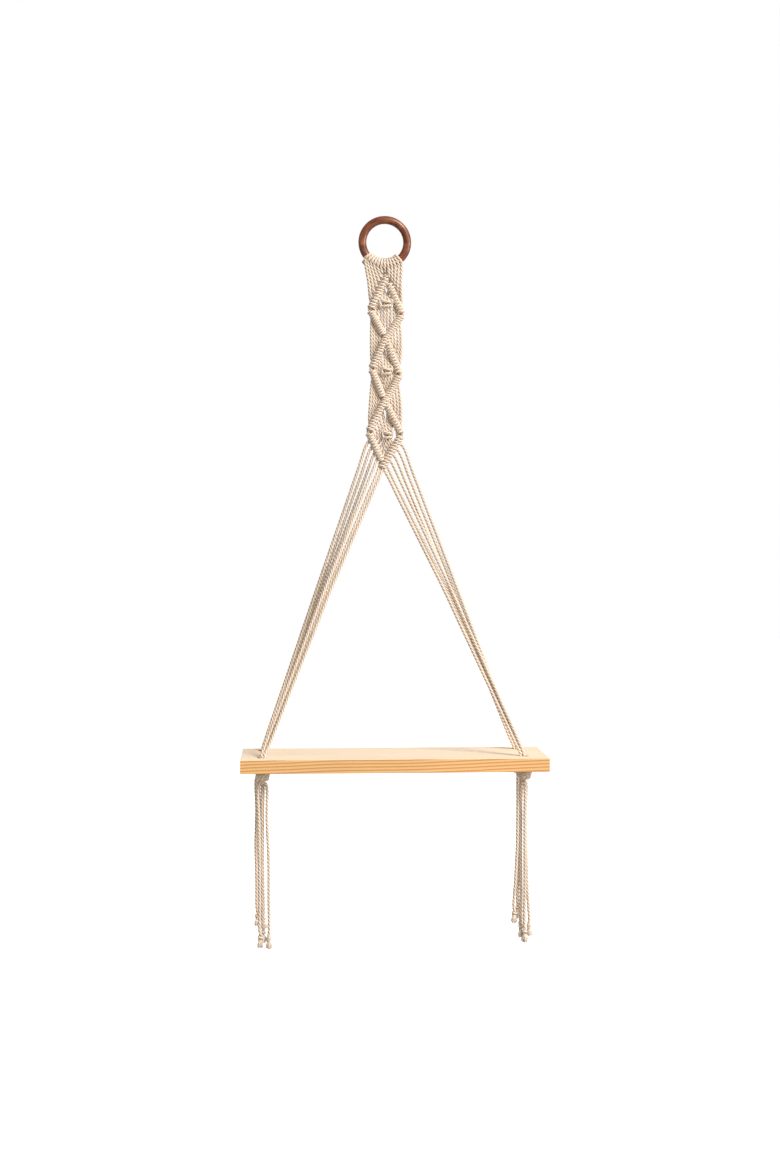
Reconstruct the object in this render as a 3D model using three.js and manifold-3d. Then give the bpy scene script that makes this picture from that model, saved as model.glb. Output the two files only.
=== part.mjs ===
// A hanging shelf of macrame: a wooden ring, a band of knotted cord below it, four legs of
// cord that spread to a pine board, and stopper knots with loose tails under the board.
// Millimetres, +Z up, the front faces -Y. The origin is where a wall hook carries the ring,
// at the top of the ring's hole.

import * as THREE from 'three';
import { mergeVertices } from 'three/addons/utils/BufferGeometryUtils.js';
import Module from 'manifold-3d';

const wasm = await Module();
wasm.setup();

// Clearance between neighbouring pieces, and the wider one of the wraps round the faceted ring.
const GAP = 0.3;
const RING_CLEARANCE = 0.36;

// Ring.
const RING_OUTER = 70;
const RING_SECTION = 10;
const RING_STEPS = 36;
const RING_SIDES = 10;

// Board, with one hole near each corner for the cords.
const BOARD = { length: 400, width: 120, thickness: 18, middle: 11, top: -701, eased: 0.8 };
const HOLE = { diameter: 12.5, left: -162, right: 180, front: -35, rear: 36, steps: 12 };

// Cord. In the band it bows a little outwards between two bars.
const CORD_RADIUS = 2.1;
const CORD_SIDES = 6;
const BAND_CORD = { radius: 1.9, sides: 5, bow: 0.6 };
const CORDS_A_SIDE = 6;

// Heads that tie the folded cords to the ring: the arc that they cover, from straight down,
// and how deep in its wrap a cord starts.
const HEADS = { fromDegrees: -54, toDegrees: 43, peak: 9.2, valley: 7.8, sides: 8, buried: 1 };

// Each fold crosses its two wraps, from and to these places, counted in wraps.
const FOLD = { from: 0.3, to: 1.7 };

// Corners of the three diamonds of the band, as [x, z], and the knot in the middle of each.
const DIAMONDS = [
  {
    apex: [1.6, -72], left: [-19.6, -114.3], right: [23.2, -120.3], foot: [0, -151.4],
    knot: [1.9, -106.8],
  },
  {
    apex: [1.9, -153], left: [-17.6, -192.4], right: [20.1, -200], foot: [-1, -232.9],
    knot: [2.9, -196.1],
  },
  {
    apex: [0.9, -237], left: [-21.4, -275.8], right: [22.2, -279.5], foot: [-2, -319.5],
    knot: [3.8, -280.6],
  },
];

// Diagonal bars: each cord is hitched over the leading cord with two wraps.
const BAR = { wraps: 10, peak: 4.9, valley: 3.9, sides: 6, deeper: 1.15 };

// Square knots: two flat loops round the four middle cords.
const SQUARE_KNOT = { halfWidth: 6.6, halfDepth: 5.2, cord: 2.5, rise: 5, tilt: 0.2, steps: 10, sides: 5 };

// Legs: where a cord leaves its bar, and how the three cords of a leg close up in a hole.
const STUB = 11.5;
const LEADERS_CROSS = 1.6;
const LEG = {
  lean: 2.1, spread: 1.75, openSpread: 2.9, straightAbove: 3, closeAbove: 16, bow: 3, bowAt: 0.45,
};

// Stopper knots under the board: two loops, the lower one narrower.
const STOPPER = {
  halfWidth: 8, narrower: 1.2, halfDepth: 6.4, cord: 2.4, drop: 4.4, tilt: 0.14, steps: 10, sides: 5,
  aside: 2,
};

// Tails that hang from the stopper knots, each with a small knot and a frayed tuft.
const TAIL = { sides: 4, steps: 8, opensBelow: 13.2 };
const END_KNOT = { radius: 3.5, height: 7, shoulder: 0.8, shoulderHeight: 0.3 };
const TUFT = { sides: 5, radius: 4.4, height: 9, widestAt: 0.8, inKnot: 1.75 };

// Corners of a bar and points that are merged lie this close together.
const SAME_PLACE = 1e-6;
const MERGE_WITHIN = 1e-4;

// Tails, outermost first: across and deep from the hole's centre at the top, in the middle
// and at the end, and the height of the end.
const TAILS = {
  tails_left_front: [
    { top: [-3.4, -2.2], middle: [-2.6, -2.4], end: [-1.6, -2.6], reach: -946 },
    { top: [0.4, 2.2], middle: [0.6, 2.8], end: [2.2, 3], reach: -941 },
    { top: [5.6, -0.6], middle: [9.4, -1], end: [9.6, -1.2], reach: -948 },
  ],
  tails_left_rear: [
    { top: [-7.4, -2.6], middle: [-9, -3], end: [-6.8, -3], reach: -934 },
    { top: [-4.2, 2.6], middle: [-5.4, 3.2], end: [-3, 3.6], reach: -929 },
    { top: [0.6, -1.6], middle: [0.2, -2], end: [1.4, -2.4], reach: -938 },
  ],
  tails_right_front: [
    { top: [-2.6, 2.4], middle: [-3.6, 3], end: [-3, 3], reach: -938 },
    { top: [1, -2.6], middle: [1.4, -3], end: [1, -3.2], reach: -943 },
    { top: [5, 1.4], middle: [7, 1.8], end: [8.8, 2], reach: -936 },
  ],
  tails_right_rear: [
    { top: [-0.6, -2.4], middle: [-1.6, -3], end: [-4.6, -3.2], reach: -934 },
    { top: [3, 2.4], middle: [3.4, 2.8], end: [1.8, 3], reach: -929 },
    { top: [6.6, -1.6], middle: [8.4, -1.6], end: [7.6, -2], reach: -938 },
  ],
};

const WOOD_DARK = new THREE.MeshStandardMaterial({ color: 0x7a3b22, roughness: 0.35, metalness: 0 });
const PINE = new THREE.MeshStandardMaterial({ color: 0xe3b47c, roughness: 0.6, metalness: 0 });
const COTTON = new THREE.MeshStandardMaterial({ color: 0xe9dcc8, roughness: 0.95, metalness: 0 });

const boardBottom = BOARD.top - BOARD.thickness;
const ringRadius = (RING_OUTER - RING_SECTION) / 2;
const ringCentre = new THREE.Vector3(0, 0, -(RING_OUTER - 2 * RING_SECTION) / 2);

// A path that keeps the given points as the steps of a tube.
class StationPath extends THREE.Curve {
  constructor(points) {
    super();
    this.points = points;
  }

  getPoint(t) {
    const last = this.points.length - 1;
    const place = THREE.MathUtils.clamp(t, 0, 1) * last;
    const index = Math.min(Math.floor(place), last - 1);
    return this.points[index].clone().lerp(this.points[index + 1], place - index);
  }

  getPointAt(u) {
    return this.getPoint(u);
  }

  getTangentAt(u) {
    const last = this.points.length - 1;
    const index = Math.round(THREE.MathUtils.clamp(u, 0, 1) * last);
    const before = this.points[Math.max(index - 1, 0)];
    const after = this.points[Math.min(index + 1, last)];
    return after.clone().sub(before).normalize();
  }
}

function point(x, y, z) {
  return new THREE.Vector3(x, y, z);
}

function between(from, to, share) {
  return from.clone().lerp(to, share);
}

// A cord with flat ends along the points.
function cord(points, radius = CORD_RADIUS, sides = CORD_SIDES) {
  const outline = [];
  for (let side = 0; side < sides; side += 1) {
    const angle = (2 * Math.PI * side) / sides;
    outline.push(new THREE.Vector2(radius * Math.cos(angle), radius * Math.sin(angle)));
  }
  const section = new THREE.Shape(outline);
  const path = new StationPath(points);
  return new THREE.ExtrudeGeometry(section, { steps: points.length - 1, extrudePath: path });
}

// A closed oval loop of cord, lying flat and tilted about the Y axis.
function loop(centre, size, tilt) {
  const points = [];
  for (let step = 0; step < size.steps; step += 1) {
    const angle = (2 * Math.PI * step) / size.steps;
    points.push(point(size.halfWidth * Math.cos(angle), size.halfDepth * Math.sin(angle), 0));
  }
  const path = new THREE.CatmullRomCurve3(points, true);
  const shape = new THREE.TubeGeometry(path, size.steps, size.cord, size.sides, true);
  shape.rotateY(tilt);
  shape.translate(centre.x, centre.y, centre.z);
  return shape;
}

// A bar of wrapped cord along +Y from the origin, one ridge to each wrap.
function ridgedBar(length, wraps, peak, valley, sides) {
  const pitch = length / wraps;
  const profile = [new THREE.Vector2(0, 0), new THREE.Vector2(valley, 0)];
  for (let wrap = 0; wrap < wraps; wrap += 1) {
    profile.push(new THREE.Vector2(peak, (wrap + 0.5) * pitch));
    profile.push(new THREE.Vector2(valley, (wrap + 1) * pitch));
  }
  profile.push(new THREE.Vector2(0, length));
  return new THREE.LatheGeometry(profile, sides);
}

// A round body of revolution about a vertical axis, from rows of [radius, height].
function turned(rows, sides, centre) {
  const profile = rows.map(([radius, height]) => new THREE.Vector2(radius, height));
  const shape = new THREE.LatheGeometry(profile, sides);
  shape.rotateX(Math.PI / 2);
  shape.translate(centre.x, centre.y, centre.z);
  return shape;
}

function toSolid(geometry) {
  const bare = geometry.clone();
  bare.deleteAttribute('normal');
  bare.deleteAttribute('uv');
  const merged = mergeVertices(bare, MERGE_WITHIN);
  return new wasm.Manifold(new wasm.Mesh({
    numProp: 3,
    vertProperties: new Float32Array(merged.attributes.position.array),
    triVerts: new Uint32Array(merged.index.array),
  }));
}

// Back to a geometry, without the sealed hollows that a join may leave.
function toGeometry(solid) {
  const bodies = solid.decompose().filter((body) => body.volume() > 0);
  const whole = wasm.Manifold.union(bodies);
  const mesh = whole.getMesh();
  const geometry = new THREE.BufferGeometry();
  geometry.setAttribute('position', new THREE.BufferAttribute(new Float32Array(mesh.vertProperties), 3));
  geometry.setIndex(new THREE.BufferAttribute(new Uint32Array(mesh.triVerts), 1));
  geometry.computeVertexNormals();
  return geometry;
}

function join(shapes) {
  return wasm.Manifold.union(shapes.map(toSolid));
}

// Ring: a round section turned about the Y axis.
function ringShape(sectionRadius) {
  const profile = [];
  for (let side = 0; side <= RING_SIDES; side += 1) {
    const angle = (2 * Math.PI * (side % RING_SIDES)) / RING_SIDES;
    profile.push(new THREE.Vector2(
      ringRadius + sectionRadius * Math.cos(angle),
      sectionRadius * Math.sin(angle),
    ));
  }
  const shape = new THREE.LatheGeometry(profile, RING_STEPS);
  shape.translate(ringCentre.x, ringCentre.y, ringCentre.z);
  return shape;
}

// Board: a plank with eased edges and four drilled holes.
function boardShape() {
  const outline = new THREE.Shape();
  const left = BOARD.middle - BOARD.length / 2;
  const right = BOARD.middle + BOARD.length / 2;
  const front = -BOARD.width / 2;
  const back = BOARD.width / 2;
  outline.moveTo(left, front);
  outline.lineTo(right, front);
  outline.lineTo(right, back);
  outline.lineTo(left, back);
  outline.closePath();
  for (const x of [HOLE.left, HOLE.right]) {
    for (const y of [HOLE.front, HOLE.rear]) {
      const hole = new THREE.Path();
      hole.absarc(x, y, HOLE.diameter / 2, 0, 2 * Math.PI, true);
      outline.holes.push(hole);
    }
  }
  const shape = new THREE.ExtrudeGeometry(outline, {
    depth: BOARD.thickness - 2 * BOARD.eased,
    curveSegments: HOLE.steps,
    bevelThickness: BOARD.eased,
    bevelSize: BOARD.eased,
    bevelOffset: -BOARD.eased,
    bevelSegments: 1,
  });
  shape.translate(0, 0, boardBottom + BOARD.eased);
  return shape;
}

// A point on the ring's lower arc, by its angle from straight down and its radius.
function onRing(angle, radius, y = 0) {
  return point(
    ringCentre.x + radius * Math.sin(angle),
    y,
    ringCentre.z - radius * Math.cos(angle),
  );
}

function headAngle(place) {
  const from = THREE.MathUtils.degToRad(HEADS.fromDegrees);
  const to = THREE.MathUtils.degToRad(HEADS.toDegrees);
  return from + (to - from) * (place / (2 * CORDS_A_SIDE));
}

// Wraps round the ring: a straight ridged bar, bent along the ring's lower arc.
function wrapsShape() {
  const from = headAngle(0);
  const to = headAngle(2 * CORDS_A_SIDE);
  const bar = ridgedBar(to - from, 2 * CORDS_A_SIDE, HEADS.peak, HEADS.valley, HEADS.sides);
  const places = bar.attributes.position;
  for (let index = 0; index < places.count; index += 1) {
    const angle = from + places.getY(index);
    const bent = onRing(angle, ringRadius - places.getX(index), places.getZ(index));
    places.setXYZ(index, bent.x, bent.y, bent.z);
  }
  return bar;
}

// The fold of each cord, which crosses its two wraps behind the ring.
function foldShapes() {
  const shapes = [];
  const radius = ringRadius + RING_SECTION / 2;
  for (let head = 0; head < CORDS_A_SIDE; head += 1) {
    const ends = [headAngle(2 * head + FOLD.from), headAngle(2 * head + FOLD.to)];
    const [from, to] = ends.map((angle) => onRing(angle, radius, RING_SECTION / 2 + CORD_RADIUS));
    shapes.push(cord([from, to]));
  }
  return shapes;
}

// Where the cord of a wrap comes out below the ring.
function headStart(head) {
  return onRing(headAngle(head), ringRadius + HEADS.valley - HEADS.buried);
}

// The way of a leading cord: down one side of every diamond, corner by corner.
function leaderWay(side) {
  const corners = [];
  for (const diamond of DIAMONDS) {
    corners.push(diamond.apex, diamond[side]);
  }
  corners.push(DIAMONDS[DIAMONDS.length - 1].foot);
  return corners.map(([x, z]) => point(x, 0, z));
}

// The bars of one leading cord: a straight ridged bar, bent at the corners of its way.
function barsShape(side) {
  const way = leaderWay(side);
  const spans = way.length - 1;
  const bar = ridgedBar(spans, spans * BAR.wraps, BAR.peak, BAR.valley, BAR.sides);
  const places = bar.attributes.position;
  for (let index = 0; index < places.count; index += 1) {
    const along = THREE.MathUtils.clamp(places.getY(index), 0, spans);
    const corner = Math.round(along);
    const span = Math.min(Math.floor(along), spans - 1);
    const direction = way[span + 1].clone().sub(way[span]).normalize();
    if (Math.abs(along - corner) < SAME_PLACE && corner > 0 && corner < spans) {
      const next = way[corner + 1].clone().sub(way[corner]).normalize();
      direction.copy(way[corner]).sub(way[corner - 1]).normalize().add(next).normalize();
    }
    const across = direction.clone().cross(point(0, 1, 0));
    const place = between(way[span], way[span + 1], along - span);
    place.addScaledVector(across, places.getX(index));
    place.y += places.getZ(index) * BAR.deeper;
    places.setXYZ(index, place.x, place.y, place.z);
  }
  return bar;
}

// Where the cord with the given rank, 1 at the edge to 5 beside the middle, meets a bar.
function onBar(corner, inner, rank) {
  const share = (rank - 0.5) / (CORDS_A_SIDE - 1);
  return point(
    THREE.MathUtils.lerp(corner[0], inner[0], share),
    0,
    THREE.MathUtils.lerp(corner[1], inner[1], share),
  );
}

// A cord of the band, from its wrap on the ring to the last bar.
function bandCord(side, rank) {
  const sign = side === 'left' ? -1 : 1;
  const head = side === 'left' ? rank - 0.5 : 2 * CORDS_A_SIDE - rank + 0.5;
  const points = [headStart(head)];
  for (const diamond of DIAMONDS) {
    const upper = onBar(diamond[side], diamond.apex, rank);
    const lower = onBar(diamond[side], diamond.foot, rank);
    const outside = between(points[points.length - 1], upper, 0.5);
    outside.x += sign * BAND_CORD.bow;
    points.push(outside, upper);
    if (rank > CORDS_A_SIDE - 3) {
      const fromKnot = (CORDS_A_SIDE - rank - 0.5) * 2 * CORD_RADIUS;
      points.push(point(diamond.knot[0] + sign * fromKnot, 0, diamond.knot[1]));
    } else {
      points.push(between(upper, lower, 0.5));
    }
    points.push(lower);
  }
  return cord(points, BAND_CORD.radius, BAND_CORD.sides);
}

// The two leading cords, from the ring to the first apex.
function leaderShapes() {
  const apex = DIAMONDS[0].apex;
  const end = point(apex[0], 0, apex[1]);
  return [CORDS_A_SIDE - 0.5, CORDS_A_SIDE + 0.5].map((head) => cord([headStart(head), end]));
}

function squareKnot(diamond) {
  const [x, z] = diamond.knot;
  return [
    loop(point(x, 0, z + SQUARE_KNOT.rise / 2), SQUARE_KNOT, SQUARE_KNOT.tilt),
    loop(point(x, 0, z - SQUARE_KNOT.rise / 2), SQUARE_KNOT, -SQUARE_KNOT.tilt),
  ];
}

// The route of a leg's cord: out of its bar, down to the hole and through the board.
// Ranks 1 to 3 go to the rear hole, 4, 5 and the leading cord to the front one.
function legRoute(side, rank) {
  const last = DIAMONDS[DIAMONDS.length - 1];
  const sign = side === 'left' ? -1 : 1;
  const rear = rank <= CORDS_A_SIDE / 2;
  const start = onBar(last[side], last.foot, rank);
  if (rank === CORDS_A_SIDE) {
    start.set(last.foot[0] - sign * LEADERS_CROSS, 0, last.foot[1]);
  }
  const place = (rank - 1) % (CORDS_A_SIDE / 2);
  const angle = Math.PI / 2 + (2 * Math.PI * place) / (CORDS_A_SIDE / 2);
  const x = HOLE[side] - sign * LEG.lean;
  const y = rear ? HOLE.rear : HOLE.front;
  const inHole = (spread, z) => point(x + spread * Math.cos(angle), y + spread * Math.sin(angle), z);
  const mouth = inHole(LEG.spread, BOARD.top + LEG.straightAbove);
  const above = inHole(LEG.openSpread, BOARD.top + LEG.closeAbove);
  const slope = start.clone().sub(above).setLength(LEG.closeAbove - LEG.straightAbove);
  above.x += slope.x;
  above.y += slope.y;
  const middle = between(start, above, LEG.bowAt);
  middle.x += sign * LEG.bow * (rank / CORDS_A_SIDE);
  return { start, middle, above, mouth, foot: inHole(LEG.spread, boardBottom) };
}

// The short end of a leg's cord that belongs to the band.
function stubShape(side, rank) {
  const { start, middle } = legRoute(side, rank);
  const end = start.clone().add(middle.clone().sub(start).setLength(STUB));
  return cord([start, end]);
}

function legCord(side, rank) {
  const { start, middle, above, mouth, foot } = legRoute(side, rank);
  const begin = start.clone().add(middle.clone().sub(start).setLength(STUB + GAP));
  return cord([begin, between(begin, middle, 0.5), middle, between(middle, above, 0.5), above, mouth, foot]);
}

function legShape(side, depth) {
  const first = depth === 'rear' ? 1 : CORDS_A_SIDE / 2 + 1;
  const ranks = [first, first + 1, first + 2];
  return toGeometry(join(ranks.map((rank) => legCord(side, rank))));
}

function bandShape() {
  const shapes = [...foldShapes(), ...leaderShapes()];
  for (const diamond of DIAMONDS) {
    shapes.push(...squareKnot(diamond));
  }
  for (const side of ['left', 'right']) {
    shapes.push(barsShape(side));
    for (let rank = 1; rank < CORDS_A_SIDE; rank += 1) {
      shapes.push(bandCord(side, rank));
    }
    for (let rank = 1; rank <= CORDS_A_SIDE; rank += 1) {
      shapes.push(stubShape(side, rank));
    }
  }
  shapes.push(wrapsShape());
  const clear = toSolid(ringShape(RING_SECTION / 2 + RING_CLEARANCE));
  return toGeometry(join(shapes).subtract(clear));
}

// One tail: its cord, a small knot and a frayed end below the knot.
function tailShapes(hole, tail) {
  const at = ([across, deep], z) => point(hole.x + across, hole.y + deep, z);
  const start = boardBottom - STOPPER.cord - STOPPER.drop / 2;
  const knotZ = tail.reach + TUFT.height + END_KNOT.height / 2;
  const path = new THREE.CatmullRomCurve3([
    point(hole.x + tail.top[0] / 2, hole.y + tail.top[1] / 2, start),
    at(tail.top, start - TAIL.opensBelow),
    at(tail.middle, (start + knotZ) / 2),
    at(tail.end, knotZ),
  ]);
  const shoulder = END_KNOT.radius * END_KNOT.shoulder;
  const shoulderHeight = END_KNOT.height * END_KNOT.shoulderHeight;
  const knot = [
    [0, -END_KNOT.height / 2],
    [shoulder, -shoulderHeight],
    [END_KNOT.radius, 0],
    [shoulder, shoulderHeight],
    [0, END_KNOT.height / 2],
  ];
  const tuft = [
    [0, -TUFT.height],
    [TUFT.radius, -TUFT.height * TUFT.widestAt],
    [CORD_RADIUS, 0],
    [0, TUFT.inKnot],
  ];
  return [
    cord(path.getSpacedPoints(TAIL.steps), CORD_RADIUS, TAIL.sides),
    turned(knot, CORD_SIDES, at(tail.end, knotZ)),
    turned(tuft, TUFT.sides, at(tail.end, knotZ - END_KNOT.height / 2)),
  ];
}

function tailsShape(side, depth, tails) {
  const hole = point(HOLE[side], HOLE[depth], 0);
  const top = boardBottom - GAP - STOPPER.cord - STOPPER.halfWidth * Math.sin(STOPPER.tilt);
  const upper = point(hole.x + STOPPER.aside, hole.y, top);
  const lower = point(hole.x + STOPPER.aside / 2, hole.y, top - STOPPER.drop);
  const core = [point(hole.x, hole.y, boardBottom - GAP), lower.clone().setX(hole.x)];
  const shapes = [
    loop(upper, STOPPER, STOPPER.tilt),
    loop(lower, { ...STOPPER, halfWidth: STOPPER.halfWidth - STOPPER.narrower }, -STOPPER.tilt),
    cord(core, STOPPER.halfDepth, CORD_SIDES),
  ];
  for (const tail of tails) {
    shapes.push(...tailShapes(hole, tail));
  }
  return toGeometry(join(shapes));
}

const shelf = new THREE.Group();

function add(name, geometry, material) {
  const mesh = new THREE.Mesh(geometry, material);
  mesh.name = name;
  shelf.add(mesh);
}

add('ring', toGeometry(toSolid(ringShape(RING_SECTION / 2))), WOOD_DARK);
add('board', toGeometry(toSolid(boardShape())), PINE);
add('macrame_band', bandShape(), COTTON);
for (const side of ['left', 'right']) {
  for (const depth of ['front', 'rear']) {
    add(`leg_${side}_${depth}`, legShape(side, depth), COTTON);
    add(`tails_${side}_${depth}`, tailsShape(side, depth, TAILS[`tails_${side}_${depth}`]), COTTON);
  }
}

export default shelf;
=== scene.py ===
# A hanging shelf of macrame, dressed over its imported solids: a turned wooden ring, twelve
# cotton cords knotted into a band of three diamonds, and a planed pine board.
# Routes are worked out in millimetres, and a mesh is in metres.

import math
import random

import bpy
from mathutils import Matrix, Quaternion, Vector


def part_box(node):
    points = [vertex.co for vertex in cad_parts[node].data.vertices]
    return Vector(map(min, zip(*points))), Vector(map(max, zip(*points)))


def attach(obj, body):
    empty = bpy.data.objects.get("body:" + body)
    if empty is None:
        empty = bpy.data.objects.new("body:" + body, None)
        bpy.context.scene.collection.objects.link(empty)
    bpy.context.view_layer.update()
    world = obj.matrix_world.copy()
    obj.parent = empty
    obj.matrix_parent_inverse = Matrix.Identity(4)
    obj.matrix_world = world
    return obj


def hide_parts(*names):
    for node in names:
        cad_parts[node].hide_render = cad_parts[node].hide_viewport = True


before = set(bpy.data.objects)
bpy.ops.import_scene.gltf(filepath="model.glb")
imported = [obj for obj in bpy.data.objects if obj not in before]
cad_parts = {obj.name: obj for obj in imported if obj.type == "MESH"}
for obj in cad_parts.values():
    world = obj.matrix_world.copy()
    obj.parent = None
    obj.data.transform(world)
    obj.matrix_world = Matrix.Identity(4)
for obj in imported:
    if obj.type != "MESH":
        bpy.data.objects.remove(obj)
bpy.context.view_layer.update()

bl_info = {
    "name": "Macrame wall shelf",
    "version": (1, 0, 0),
    "blender": (4, 5, 0),
    "location": "3D View > Sidebar > Shelf",
    "description": "Makes a knotted cotton wall shelf with a turned ring and a pine board",
    "category": "Object",
}

MM = 0.001
BACK = Vector((0, 1, 0))


def box_mm(node):
    """The lowest and the highest corner of a node, in millimetres."""
    low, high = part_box(node)
    return low / MM, high / MM


RING_LOW, RING_HIGH = box_mm("ring")
RING_CENTRE = (RING_LOW + RING_HIGH) / 2
RING_OUTER = (RING_HIGH.x - RING_LOW.x) / 2
BOARD_LOW, BOARD_HIGH = box_mm("board")

# Where the board's four holes are: x on each side, and y at the front and the rear.
HOLE_X = {"left": -162, "right": 180}
HOLE_Y = {"front": -35, "rear": 36}

# Cords on each side and in each hole, and the arc of the ring that their heads cover, from
# straight down.
CORDS_A_SIDE = 6
CORDS_A_HOLE = CORDS_A_SIDE // 2
HEADS = {"from": -54, "to": 43}

# The three diamonds of the band: apex, side corners and foot as (x, z), the square knot with its
# width beside the first one's, x of the two inner cords of each side above the knot, and x and
# depth of the three outer ones beside it, outermost first.
DIAMONDS = [
    {"apex": (1.6, -72), "left": (-19.6, -114.3), "right": (23.2, -120.3), "foot": (0, -151.4),
     "knot": (1.9, -106.8), "wide": 1,
     "above": {"left": (-4.7, -0.2), "right": (8.1, 3.9)},
     "beside": {"left": ((-16.7, 2.2), (-12.8, 2.6), (-8.9, 2.2)),
                "right": ((20.3, 2.2), (16.5, 2.6), (12.7, 2.2))}},
    {"apex": (1.9, -153), "left": (-17.6, -192.4), "right": (20.1, -200), "foot": (-1, -232.9),
     "knot": (2.9, -196.1), "wide": 0.85,
     "above": {"left": (-4.6, 0.4), "right": (8.4, 4.6)},
     "beside": {"left": ((-14.2, 2.2), (-10.3, 2.8), (-6.4, 2.4)),
                "right": ((17.4, 2.2), (14.1, 2.6), (10.7, 3))}},
    {"apex": (0.9, -237), "left": (-21.4, -275.8), "right": (22.2, -279.5), "foot": (-2, -319.5),
     "knot": (3.8, -280.6), "wide": 0.8,
     "above": {"left": (-4.9, -0.9), "right": (7.4, 3.8)},
     "beside": {"left": ((-13.8, 2.2), (-9.9, 2.8), (-6, 2.4)),
                "right": ((20.4, 2.2), (16.6, 2.2), (7.2, 8))}},
]

# Legs: the part of each that belongs to the band, how three cords close up in a hole, how a leg
# bows outwards, how far past the band's foot a leading cord starts, and from which depth in the
# board the cords are pressed a little thinner.
STUB = 11.5
LEG = {"lean": 2.1, "spread": 2.3, "open": 2.9, "straight": 3, "close": 16, "bow": 3, "bow_at": 0.45,
       "apart": 1.6, "pressed_from": 5, "pressed": 0.97}
QUARTERS = (0.25, 0.5, 0.75)

# Tails, outermost first: across and deep from the hole's centre at the top, in the middle and
# at the end, and the height of the end.
TAILS = {
    ("left", "front"): [
        {"top": (-3.4, -2.2), "middle": (-2.6, -2.4), "end": (-1.6, -2.6), "reach": -946},
        {"top": (0.4, 2.2), "middle": (0.6, 2.8), "end": (2.2, 3), "reach": -941},
        {"top": (5.6, -0.6), "middle": (9.4, -1), "end": (9.6, -1.2), "reach": -948},
    ],
    ("left", "rear"): [
        {"top": (-7.4, -2.6), "middle": (-9, -3), "end": (-6.8, -3), "reach": -934},
        {"top": (-4.2, 2.6), "middle": (-5.4, 3.2), "end": (-3, 3.6), "reach": -929},
        {"top": (0.6, -1.6), "middle": (0.2, -2), "end": (1.4, -2.4), "reach": -938},
    ],
    ("right", "front"): [
        {"top": (-2.6, 2.4), "middle": (-3.6, 3), "end": (-3, 3), "reach": -938},
        {"top": (1, -2.6), "middle": (1.4, -3), "end": (1, -3.2), "reach": -943},
        {"top": (3, 1.6), "middle": (3.8, 1.8), "end": (7.6, 2), "reach": -936},
    ],
    ("right", "rear"): [
        {"top": (1.4, -2.4), "middle": (0.6, -3), "end": (-3.8, -3.2), "reach": -934},
        {"top": (3, 2.4), "middle": (3.4, 2.8), "end": (1.8, 3), "reach": -929},
        {"top": (6.2, -1.6), "middle": (6.2, -1.6), "end": (6.6, -2), "reach": -938},
    ],
}

# A tail: how far below the stopper knot's top it opens out, how it leaves the knot's core, how
# uneven it hangs, and the drop and thickness of its last two places, inside the tuft.
TAIL = {"opens_below": 13.2, "core_rise": 1.5, "core_drop": 3, "core_share": 0.6, "top_share": 0.5,
        "core_thick": 0.95, "uneven": 0.35, "above_knot": 2.5}
TAIL_END = ((0.8, 0.75), (3.0, 0.7))

# A head wraps the ring's section from its lower back, over the inner side, to its lower front,
# in degrees. The fold behind the ring is raised, and merges into the wraps over some degrees.
HEAD_WRAP = {"from": 35, "to": 305, "step": 15, "merge": 50, "clear": 0.15, "lift": 0.9, "press": 1.02}
HEAD_FOLD = {"up": 0.75, "back": 0.72, "thick": 0.9}

# A double half hitch: its radius in the plane of the band and across it, how far its first
# pass stands behind, the degrees that it turns through, the leading cord's squeeze, how uneven
# it is, and how thick its wraps may be and how far they press together.
HITCH = {"reach": 3.35, "depth": 3.7, "behind": 2.6, "from": 55, "to": 845, "step": 22.5, "leader": 0.7,
         "uneven": 0.12, "thickest": 0.97, "press": 0.12}
HITCH_MIDDLE = 450
HITCH_BEHIND_UNTIL = 190
CORNER_CLEAR = 2.3
CROSSING_CLEAR = 5.6
WIDEST_PITCH = 4.3

# The two working cords of a square knot, from its centre, the space of its fillers, and the
# share of their thickness that all of them keep.
KNOT_IN_FRONT = [
    (-6.3, 0.4, 8.0), (-6.3, -1.6, 5.0), (-3.8, -3.9, 3.5), (0, -4.6, 2.9), (3.8, -4.1, 2.5),
    (6.0, -1.8, 1.7), (6.7, 0.6, 0.5), (6.3, -0.6, -0.9), (5.2, -2.9, -1.8), (3.0, -4.4, -2.3),
    (0, -4.7, -2.8), (-3.8, -4.0, -3.3), (-6.2, -1.6, -4.6), (-6.3, 0.4, -8.0),
]
KNOT_BEHIND = [
    (6.3, 0, 8.0), (7.3, -2.0, 5.4), (7.6, -3.6, 3.0), (7.2, -2.4, 0.8), (6.0, 1.4, 0.4),
    (3.4, 4.0, 1.5), (0, 4.4, 1.4), (-3.8, 3.8, 1.2), (-6.6, 1.0, 1.2), (-7.6, -2.2, 0.4),
    (-7.7, -3.4, -1.8), (-7.2, -1.8, -3.8), (-5.8, 1.8, -3.6), (-3.2, 4.2, -2.6), (0, 4.5, -2.8),
    (3.6, 3.9, -3.2), (6.0, 1.4, -4.8), (6.3, 0.2, -8.0),
]
FILLERS = {"apart": 2.05, "above": 7.5, "thick": 0.95}
KNOT_THICK = 0.9

# The inner cords above a knot: how deep they lie, and at which share of their way to it.
ABOVE_KNOT = {"deep": 3.3, "share": 0.5}
# The outer cords beside a knot: the two shares of their way between which they run straight down,
# and how uneven they are across and in depth.
BESIDE_KNOT = (0.3, 0.78)
BESIDE_UNEVEN = (0.2, 0.4)

# How far a hanging cord bows outwards above the bars, outermost first: under the ring, and on
# each side under a diamond.
BOW_OUT = {"ring": (0, -0.5, -0.4, 0.1, 0.4), "left": (1.9, 1.5, 1.1, 0.8, 0.6),
           "right": (3.2, 2.8, 2.4, 2, 1.6)}
# The depth of a hanging cord between two diamonds, and how uneven such cords are across and deep.
HANG_DEPTH = 1.5
HANG_UNEVEN = (0.3, 0.5)

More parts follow.
